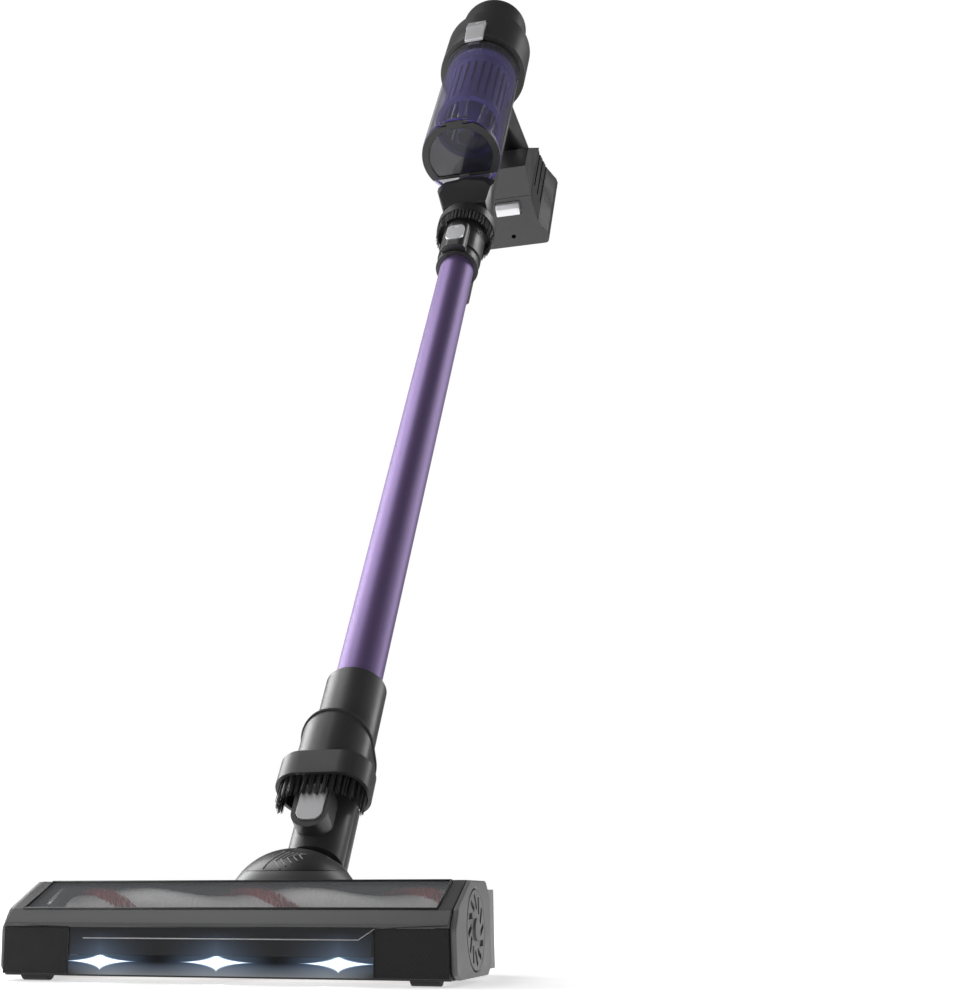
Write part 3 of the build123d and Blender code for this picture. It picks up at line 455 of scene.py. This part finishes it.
for finish, nodes in NODE_FINISH.items():
    for node in nodes:
        dress_node(node, FINISH[finish])
panel_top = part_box("corner_panel_right")[1].z
dress_node("front_bumper", two_tone_band(panel_top, panel_top + 0.3 * MM))
dress_node("pivot_dome", dome_shell(TILT_POINT.z + SEAM_ABOVE_TILT * MM))


# ---- pieces that are built here: places are millimetres in the floor's or the stick's frame ----
FULL_TURN = 6.283
THIRD_TURN = 2.0944
STRAND_TAPER = 0.45


class Build:
    """Points and faces of one piece, gathered part by part."""

    def __init__(self):
        self.points, self.faces = [], []

    def strand(self, root, tip, width):
        """Three-sided fibre from root to tip."""
        root, tip = Vector(root), Vector(tip)
        along = (tip - root).normalized()
        side = along.orthogonal().normalized()
        side.rotate(Quaternion(along, random.uniform(0, FULL_TURN)))
        other = along.cross(side)
        first = len(self.points)
        for centre, half in ((root, width / 2), (tip, width * STRAND_TAPER / 2)):
            for turn in range(3):
                angle = turn * THIRD_TURN
                self.points.append(centre + half * (math.cos(angle) * side + math.sin(angle) * other))
        for turn in range(3):
            after = (turn + 1) % 3
            self.faces.append((first + turn, first + after, first + 3 + after, first + 3 + turn))
        self.faces += [(first + 2, first + 1, first), (first + 3, first + 4, first + 5)]

    def bead(self, path, radius, closed=False, sides=8, flat=1.0):
        """Round cord along a path of points."""
        path = [Vector(point) for point in path]
        first, count = len(self.points), len(path)
        for step, point in enumerate(path):
            before = path[step - 1] if step or closed else point
            after = path[(step + 1) % count] if step + 1 < count or closed else point
            along = (after - before).normalized()
            reference = Vector((0, 0, 1)) if abs(along.z) < 0.9 else Vector((0, 1, 0))
            side = along.cross(reference).normalized()
            other = side.cross(along)
            for turn in range(sides):
                angle = 2 * math.pi * turn / sides
                around = math.cos(angle) * side + flat * math.sin(angle) * other
                self.points.append(point + radius * around)
        rings = count if closed else count - 1
        for step in range(rings):
            here, there = first + step * sides, first + ((step + 1) % count) * sides
            for turn in range(sides):
                after = (turn + 1) % sides
                self.faces.append((here + turn, here + after, there + after, there + turn))
        if not closed:
            last = first + (count - 1) * sides
            self.faces.append(tuple(first + k for k in range(sides)))
            self.faces.append(tuple(last + k for k in reversed(range(sides))))

    def lathe(self, profile, centre, segments, radius_of=None):
        """Closed profile of (radius, height) points turned about the upright axis through centre."""
        first, count = len(self.points), len(profile)
        for turn in range(segments):
            angle = 2 * math.pi * turn / segments
            for radius, height in profile:
                reach = radius if radius_of is None else radius_of(radius, angle)
                spot = Vector((reach * math.cos(angle), reach * math.sin(angle), height))
                self.points.append(Vector(centre) + spot)
        for turn in range(segments):
            here, there = first + turn * count, first + ((turn + 1) % segments) * count
            for k in range(count):
                after = (k + 1) % count
                self.faces.append((here + k, here + after, there + after, there + k))

    def make(self, name, place, body, finish, smooth=False):
        """The piece itself, placed in a frame, riding on a body and given its finish."""
        mesh = bpy.data.meshes.new(name)
        mesh.from_pydata([place @ (Vector(point) * MM) for point in self.points], [], self.faces)
        mesh.materials.append(FINISH[finish])
        shape = bmesh.new()
        shape.from_mesh(mesh)
        bmesh.ops.recalc_face_normals(shape, faces=shape.faces)
        shape.to_mesh(mesh)
        shape.free()
        if smooth:
            mesh.shade_smooth()
        piece = bpy.data.objects.new(name, mesh)
        bpy.context.scene.collection.objects.link(piece)
        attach(piece, body)
        return piece


def rounded_path(half_x, front, rear, corner, level, step=1.5):
    """Closed rounded outline as (x, y, z) points, a step apart; level gives z from y."""
    corner_steps = 12
    corner = min(corner, half_x, (rear - front) / 2)
    centres = [(half_x - corner, rear - corner, 0), (corner - half_x, rear - corner, 90),
               (corner - half_x, front + corner, 180), (half_x - corner, front + corner, 270)]
    spots = []
    for x, y, start in centres:
        for k in range(corner_steps + 1):
            angle = math.radians(start + 90 / corner_steps * k)
            spots.append((x + corner * math.cos(angle), y + corner * math.sin(angle)))
    even, rest = [], 0.0
    for k, (x, y) in enumerate(spots):
        after = spots[(k + 1) % len(spots)]
        run = math.dist((x, y), after)
        while rest < run:
            share = rest / run if run else 0
            spot = (x + share * (after[0] - x), y + share * (after[1] - y))
            even.append((*spot, level(spot[1])))
            rest += step
        rest -= run
    return even


# ---- bristles of the two sliding brushes ----
def in_tuft(x, y, radius):
    """Random place in a round tuft."""
    turn, reach = random.uniform(0, FULL_TURN), radius * math.sqrt(random.random())
    return x + reach * math.cos(turn), y + reach * math.sin(turn)


def lower_bristles():
    """Crescent of stiff tufts under the front of the lower shroud."""
    low, high = box_in(STICK, "lower_brush_bristles")
    inset, rear, corner, pitch, strands = 1.7, 6.0, 15.5, 4.7, 40
    tufts = Build()
    for x, y, z in rounded_path(high.x - inset, low.y + inset, rear, corner, lambda y: high.z - 0.4, pitch):
        if y > high.y:
            continue
        out = Vector((x * 0.7, y + 8, 0)).normalized()
        for _ in range(strands):
            root = Vector((*in_tuft(x, y, 1.65), z))
            lean = Vector((random.gauss(0, 0.22), random.gauss(0, 0.22), 0)) + out * random.uniform(-0.3, 0.4)
            tip = Vector((root.x + lean.x, root.y + lean.y, low.z + random.uniform(0.0, 2.2)))
            tufts.strand(root, tip, 0.55)
    piece = tufts.make("lower_brush_tufts", STICK, "lower_brush", "bristle")
    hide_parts("lower_brush_bristles")


def upper_bristles():
    """Collar on the nozzle with a full round of tufts below it."""
    low, high = box_in(STICK, "upper_brush_ring")
    band_foot, bore, wall, top_wall = low.z + 9.5, 22.4, 3.2, 4
    band = Build()
    profile = [(high.x, band_foot), (high.x, high.z - 1.2), (high.x - 0.8, high.z), (bore, high.z),
               (bore, high.z - top_wall), (high.x - wall, high.z - top_wall), (high.x - wall, band_foot)]
    band.lathe(profile, (0, 0, 0), segments=96)
    piece = band.make("upper_brush_band", STICK, "upper_brush", "shell")
    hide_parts("upper_brush_ring")
    tufts = Build()
    foot = box_in(STICK, "upper_brush_bristles")[0].z
    circle, count, strands = high.x - 1.9, 48, 24
    for k in range(count):
        angle = 2 * math.pi * k / count
        for _ in range(strands):
            x, y = in_tuft(circle * math.cos(angle), circle * math.sin(angle), 1.25)
            tip_x, tip_y = x * 0.99 + random.gauss(0, 0.2), y * 0.99 + random.gauss(0, 0.2)
            tip = (tip_x, tip_y, foot + random.uniform(2, 4))
            tufts.strand((x, y, band_foot + 1.5), tip, 0.5)
    piece = tufts.make("upper_brush_tufts", STICK, "upper_brush", "bristle")
    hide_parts("upper_brush_bristles")


def rubber_rims():
    """Black lip on the lower shroud's sloping rim, and on the lower end of the upper collar."""
    top = box_in(STICK, "lower_brush_shroud")[1].z
    slope, front, rear, half_x, corner = 0.45, -33.5, 25.0, 25.0, 24.0
    lip = Build()
    path = rounded_path(half_x, front, rear, corner, lambda y: top - 0.3 - slope * (y - front))
    lip.bead(path, 1.1, closed=True)
    lip.make("lower_brush_lip", STICK, "lower_brush", "rubber", smooth=True)
    collar_foot = box_in(STICK, "upper_tube_collar")[0].z
    ring = Build()
    profile = [(20.4, 0), (21.4, 0.2), (21.7, 1.2), (21.4, 2.4), (20.4, 2.6)]
    ring.lathe(profile, (0, 0, collar_foot), segments=64)
    ring.make("upper_collar_lip", STICK, "stick", "gloss", smooth=True)


# ---- brush roll ----
def brush_pile():
    """Soft grey lobes and red rows of pile that wind along the brush's core."""
    low, high = (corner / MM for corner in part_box("brush_sleeve"))
    axis_y, axis_z = (low.y + high.y) / 2, (low.z + high.z) / 2
    reach, core, lead = (high.z - low.z) / 2, 17.05, 97.0

    def on_roll(x, radius, angle):
        return x, axis_y + radius * math.cos(angle), axis_z + radius * math.sin(angle)

    lobes = Build()
    steps, sides = 260, 96
    for k in range(steps + 1):
        x = low.x + (high.x - low.x) * k / steps
        for turn in range(sides):
            angle = 2 * math.pi * turn / sides
            wave = 0.5 + 0.5 * math.cos(2 * (angle - math.pi * x / lead - 0.6))
            height = core + (reach - 0.4 - core) * (0.25 + 0.75 * wave ** 1.2)
            height += random.uniform(-0.22, 0.22)
            lobes.points.append(on_roll(x, height, angle))
    for k in range(steps):
        for turn in range(sides):
            after = (turn + 1) % sides
            here, there = k * sides, (k + 1) * sides
            lobes.faces.append((here + turn, here + after, there + after, there + turn))
    for k, x in ((0, low.x), (steps, high.x)):
        first = len(lobes.points)
        for turn in range(sides):
            angle = 2 * math.pi * turn / sides
            lobes.points.append(on_roll(x, core, angle))
        for turn in range(sides):
            after = (turn + 1) % sides
            lobes.faces.append((k * sides + turn, k * sides + after, first + after, first + turn))
    piece = lobes.make("brush_pile", FLOOR, "brush_roll", "grey_pile", smooth=True)
    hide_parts("brush_sleeve")
    rows = Build()
    tufts, margin = 900, 2
    for k in range(tufts):
        x = low.x + margin + (high.x - low.x - 2 * margin) * k / (tufts - 1)
        for start in (0.5, 1.5):
            angle = math.pi * (x / lead + start)
            for _ in range(3):
                turn = angle + random.uniform(-0.2, 0.2)
                spot = x + random.uniform(-0.4, 0.4)
                tip = reach - random.uniform(0.1, 1.2)
                rows.strand(on_roll(spot, core + 0.2, turn), on_roll(spot, tip, turn), 0.55)
    rows.make("brush_red_rows", FLOOR, "brush_roll", "red_pile")


def pleated_filter():
    """Exhaust filter: a deep zigzag of paper between two rims."""
    low, high = box_in(STICK, "exhaust_filter")
    centre = ((low.x + high.x) / 2, (low.y + high.y) / 2, 0)
    outer, inner, pleats = (high.x - low.x) / 2, 19.0, 54
    fold_top, fold_foot, rim, rim_bore = high.z - 2, low.z + 2, 2.4, 18.2
    paper = Build()
    skin, back = outer - 0.6, outer - 1.4
    profile = [(skin, fold_foot), (skin, fold_top), (back, fold_top), (back, fold_foot)]

    def fold(radius, angle):
        """Radius of the paper: every second line is drawn in."""
        share = abs((angle * pleats / (2 * math.pi)) % 1.0 - 0.5) * 2
        return radius - (outer - inner - 3) * share

    paper.lathe(profile, centre, segments=pleats * 2, radius_of=fold)
    piece = paper.make("filter_pleats", STICK, "filter_cap", "paper")
    rims = Build()
    for z0, z1 in ((low.z, low.z + rim), (high.z - rim, high.z)):
        rims.lathe([(outer, z0), (outer, z1), (rim_bore, z1), (rim_bore, z0)], centre, segments=64)
    rims.make("filter_rims", STICK, "filter_cap", "nylon")
    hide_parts("exhaust_filter")


# ---- raised and inlaid lines ----
def on_dome(side, height, out=0.0):
    """Point on the dome's round face: side along X, height above the tilt axis, at its front."""
    radius = DOME_RADIUS + out
    depth = math.sqrt(max(0.0, radius ** 2 - side ** 2 - height ** 2))
    return Vector((side, -depth, height)) + TILT_POINT / MM


def dome_lines():
    """Fan of raised chevrons on the dome's cap, and the groove between cap and foot."""
    chevrons = Build()
    steps = 5
    for k in (-1.2, 0, 0.9, 1.8, 2.6, 3.3):
        marks = [(1.8 + 3.3 * k, 31.1 + 1.7 * k), (-3.6 + 3.9 * k, 35.6 + 1.1 * k),
                 (2.3 + 3.0 * k, 41.2 - 0.4 * k)]
        if k < -1:
            marks[0] = (-9.8, 31.2)
        spots = []
        for (x0, z0), (x1, z1) in zip(marks, marks[1:]):
            for t in range(steps):
                spots.append(on_dome(x0 + (x1 - x0) * t / steps, z0 + (z1 - z0) * t / steps, 0.1))
        spots.append(on_dome(*marks[2], 0.1))
        chevrons.bead(spots, 0.42, sides=6)
    chevrons.make("dome_chevrons", FLOOR, "pivot", "line_grey", smooth=True)
    seam = Build()
    half = 0.98 * math.sqrt(DOME_RADIUS ** 2 - SEAM_ABOVE_TILT ** 2)
    sides = [half * (2 * k / 40 - 1) for k in range(41)]
    seam.bead([on_dome(side, SEAM_ABOVE_TILT, -0.12) for side in sides], 0.38, sides=6)
    seam.make("dome_seam", FLOOR, "pivot", "gloss", smooth=True)


def panel_lines():
    """Bright inlay across the dark front panel, and the seams at its two ends."""
    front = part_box("front_bumper")[0].y / MM
    left, right, end, level, high = -78.5, 78.9, 87.2, 23.0, 28.6
    line = Build()
    line.bead([(left, front, level), (right, front, level), (right + 8.9, front, high)], 0.34, sides=6)
    line.make("panel_inlay", FLOOR, "head", "line_grey", smooth=True)
    foot, corner_x, corner_z = 4.5, 126.5, 30.2
    seams = Build()
    for s in (-1, 1):
        seams.bead([(s * end, front, foot), (s * end, front, high)], 0.28, sides=6)
        seams.bead([(s * corner_x, front, corner_z), (s * end, front, high + 0.1)], 0.3, sides=6)
    seams.bead([(-end, front, high + 0.3), (end, front, high + 0.3)], 0.3, sides=6)
    seams.make("panel_seams", FLOOR, "head", "gloss", smooth=True)


def window_gasket():
    """Black gasket round the slanted window."""
    low, high = (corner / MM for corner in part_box("brush_window"))
    fall = Vector((0, high.y - low.y, high.z - low.z)).normalized()
    away = Vector((0, -fall.z, fall.y))
    lift, inset = away * 0.1, 0.6
    foot = Vector((0, -118.0, 38.0)) + lift + fall * 1.0
    crest = Vector((0, -84.0, 53.5)) + lift - fall * 0.9
    half = high.x - inset
    gasket = Build()
    corners = [(-half, foot), (half, foot), (half, crest), (-half, crest)]
    for (x0, p0), (x1, p1) in zip(corners, corners[1:] + corners[:1]):
        gasket.bead([p0 + Vector((x0, 0, 0)), p1 + Vector((x1, 0, 0))], 0.75, sides=8)
    gasket.make("window_gasket", FLOOR, "head", "rubber", smooth=True)


def sole_fittings():
    """Squeegee strip behind the mouth and the screws in the sole."""
    strip = Build()
    lips, pitch, first_x = 110, 2.0, -108
    for k in range(lips):
        x = first_x + pitch * k
        strip.bead([(x, -51.4, 3.0), (x, -51.2, 0.6)], 0.8, sides=6, flat=0.8)
    strip.make("sole_strip", FLOOR, "head", "rubber", smooth=True)
    screws = Build()
    head = [(0.05, 4.4), (2.6, 4.4), (2.9, 4.1), (2.9, 4.6), (0.05, 4.8)]
    for x in (-80, 80):
        for y in (-36, 4):
            screws.lathe(head, (x, y, 0), segments=20)
    screws.make("sole_screws", FLOOR, "head", "steel")


def bin_lines():
    """Foot ring of the clear bin, a light grey strip down each side that is a painted highlight of the clear
    wall's bright edges, and the dust hatch lever inside its front.
    """
    low, high = box_in(STICK, "dust_bin")
    centre_y, radius, wall = -60.0, high.x, 2.2
    ring = Build()
    profile = [(radius - wall, 2), (radius - 0.3, 2), (radius - 0.3, 4), (radius - wall, 4)]
    ring.lathe(profile, (0, centre_y, low.z + 2), segments=72)
    ring.make("bin_foot_ring", STICK, "bin", "violet")
    # painted highlight: a light grey bead down each side of the clear bin, near its outline, stands for the
    # bright edge that the clear wall shows
    painted_highlight_angle, skin = 1.75, radius - 0.2
    for s in (-1, 1):
        edge = Build()
        x, y = skin * math.sin(-s * painted_highlight_angle), centre_y - skin * math.cos(painted_highlight_angle)
        edge.bead([(x, y, low.z + 8), (x, y, high.z - 6)], 0.5, sides=8)
        side = "right" if x > 0 else "left"
        edge.make(f"bin_painted_edge_highlight_{side}", STICK, "bin", "line_grey", smooth=True)
    lever = Build()
    lever_y, lever_z = centre_y - 31, 938
    lever.bead([(-11, lever_y, lever_z), (11, lever_y, lever_z)], 3.2, sides=12)
    lever.bead([(-5, lever_y, lever_z), (-5, lever_y - 2, lever_z + 12)], 2.2, sides=10)
    lever.bead([(6, lever_y, lever_z), (6, lever_y + 1, lever_z - 11)], 2.6, sides=10)
    lever.make("dust_hatch_lever", STICK, "bin", "dark_violet", smooth=True)


for build_piece in (lower_bristles, upper_bristles, rubber_rims, brush_pile, pleated_filter, dome_lines,
                    panel_lines, window_gasket, sole_fittings, bin_lines):
    build_piece()


# ---- studio ----
def area_light(name, at, to, width, height, power):
    data = bpy.data.lights.new(name, "AREA")
    data.shape = "RECTANGLE"
    data.size, data.size_y = width, height
    data.energy = power
    lamp = bpy.data.objects.new(name, data)
    lamp.location = at
    lamp.rotation_euler = (Vector(to) - Vector(at)).to_track_quat("-Z", "Y").to_euler()
    bpy.context.scene.collection.objects.link(lamp)


def studio_world():
    """White to the eye, but dim as a source of light, so that the softboxes shape the object."""
    world = bpy.data.worlds.new("studio")
    bpy.context.scene.world = world
    world.use_nodes = True
    tree = world.node_tree
    tree.nodes.clear()
    seen, lighting = tree.nodes.new("ShaderNodeBackground"), tree.nodes.new("ShaderNodeBackground")
    seen.inputs[0].default_value = (1, 1, 1, 1)
    lighting.inputs[0].default_value = (1, 1, 1, 1)
    lighting.inputs[1].default_value = 0.11
    path, mix = tree.nodes.new("ShaderNodeLightPath"), tree.nodes.new("ShaderNodeMixShader")
    out = tree.nodes.new("ShaderNodeOutputWorld")
    tree.links.new(path.outputs["Is Camera Ray"], mix.inputs[0])
    tree.links.new(lighting.outputs[0], mix.inputs[1])
    tree.links.new(seen.outputs[0], mix.inputs[2])
    tree.links.new(mix.outputs[0], out.inputs[0])


def studio_floor():
    """Wide pale floor that glows more with distance, so that it meets the backdrop without a line."""
    half = 6.0
    mesh = bpy.data.meshes.new("floor")
    corners = [(-half, -half, 0), (half, -half, 0), (half, half, 0), (-half, half, 0)]
    mesh.from_pydata(corners, [], [(0, 1, 2, 3)])
    floor = bpy.data.objects.new("floor", mesh)
    bpy.context.scene.collection.objects.link(floor)
    made = Surface("pale_floor", (0.86, 0.86, 0.87), 0.55)
    distance = made.add("VectorMath", operation="LENGTH")
    made.join(made.place, distance.inputs[0])
    glow = made.spread(distance.outputs["Value"], 0.55, 1.0, 0.25, 1.0)
    made.feed("Emission Strength", glow)
    made.shader.inputs["Emission Color"].default_value = (1, 1, 1, 1)
    mesh.materials.append(made.material)


def studio_camera():
    data = bpy.data.cameras.new("camera")
    data.lens = 54.26
    data.sensor_width = 36.0
    data.shift_x, data.shift_y = 0.1276, -0.003
    data.clip_start, data.clip_end = 0.01, 50.0
    camera = bpy.data.objects.new("camera", data)
    camera.location = (0.3153, -0.9026, 0.04285)
    camera.rotation_euler = (math.radians(104.981), 0.0, math.radians(17.246))
    bpy.context.scene.collection.objects.link(camera)
    bpy.context.scene.camera = camera


bpy.context.scene.view_settings.view_transform = "Standard"
studio_world()
studio_floor()
studio_camera()
area_light("top_left_box", (-0.75, 0.40, 1.95), (0.0, 0.30, 0.40), 0.7, 0.7, 9)
area_light("left_box", (-1.5, 0.9, 1.1), (0.0, 0.35, 0.5), 0.6, 1.8, 30)
area_light("right_box", (1.05, 1.5, 1.2), (0.0, 0.35, 0.5), 0.35, 1.5, 11)
area_light("side_box", (-1.7, -0.3, 0.7), (0.0, 0.2, 0.4), 0.5, 1.4, 14)
area_light("front_box", (-0.5, -1.7, 1.5), (0.0, 0.2, 0.4), 1.0, 1.0, 9)
